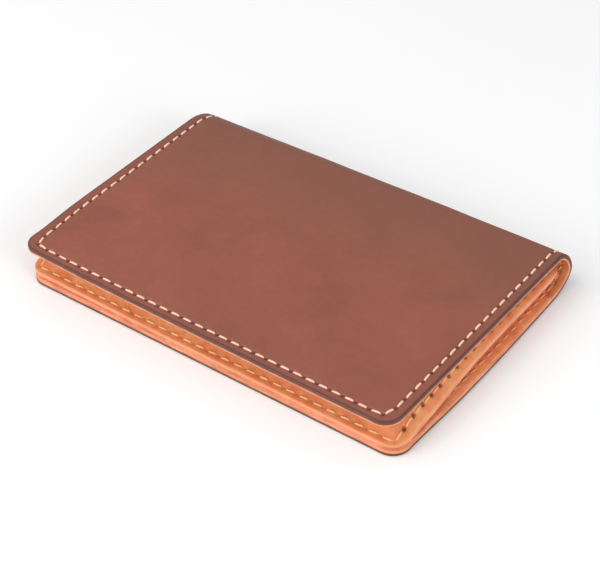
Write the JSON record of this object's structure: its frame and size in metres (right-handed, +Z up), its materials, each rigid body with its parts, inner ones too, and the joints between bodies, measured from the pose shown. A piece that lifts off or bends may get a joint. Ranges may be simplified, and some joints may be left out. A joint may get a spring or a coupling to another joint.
{
  "type": "card holder",
  "caption": "Bifold leather card holder: brown stitched cover lined in tan leather, with a wide gusseted pocket that opens towards the fold.",
  "frame": {"origin": "middle of the underside of the closed case", "axes": "+X along the fold, +Y from the free edges to the fold, +Z up from the back cover to the flap"},
  "size_m": [0.112, 0.0762, 0.01],
  "materials": {
    "brown_leather": "smooth waxed leather, slightly glossy",
    "tan_leather": "natural tan leather, satin",
    "cream_thread": "waxed thread",
    "straw_thread": "waxed thread"
  },
  "bodies": {
    "back": {"back_outer": "brown_leather", "back_lining": "tan_leather", "back_seam_outer": "cream_thread", "back_seam_inner": "straw_thread", "gusset_lower_leaf": "tan_leather"},
    "spine": {"spine_outer": "brown_leather", "spine_lining": "tan_leather", "spine_seam_outer_left": "cream_thread", "spine_seam_outer_right": "cream_thread", "spine_seam_inner_left": "straw_thread", "spine_seam_inner_right": "straw_thread"},
    "flap": {"flap_outer": "brown_leather", "flap_lining": "tan_leather", "flap_seam_outer": "cream_thread", "flap_seam_inner": "straw_thread"},
    "pocket": {"pocket_panel": "tan_leather", "gusset_upper_leaf": "tan_leather", "pocket_seam_upper": "straw_thread", "pocket_seam_lower": "straw_thread"}
  },
  "joints": [
    {"name": "spine_hinge", "type": "hinge", "parent": "back", "child": "spine", "pos_m": [0, 0.0368, 0.0013], "axis": [-1, 0, 0], "range_deg": [0, 90]},
    {"name": "flap_hinge", "type": "hinge", "parent": "spine", "child": "flap", "pos_m": [0, 0.0368, 0.0087], "axis": [-1, 0, 0], "range_deg": [0, 90]},
    {"name": "pocket_hinge", "type": "hinge", "parent": "back", "child": "pocket", "pos_m": [0, -0.0379, 0.0026], "axis": [1, 0, 0], "range_deg": [0, 5]}
  ],
  "couplings": [
    {"joint": "flap_hinge", "follows": "spine_hinge", "ratio": 1},
    {"joint": "pocket_hinge", "follows": "spine_hinge", "ratio": 0.0555}
  ]
}
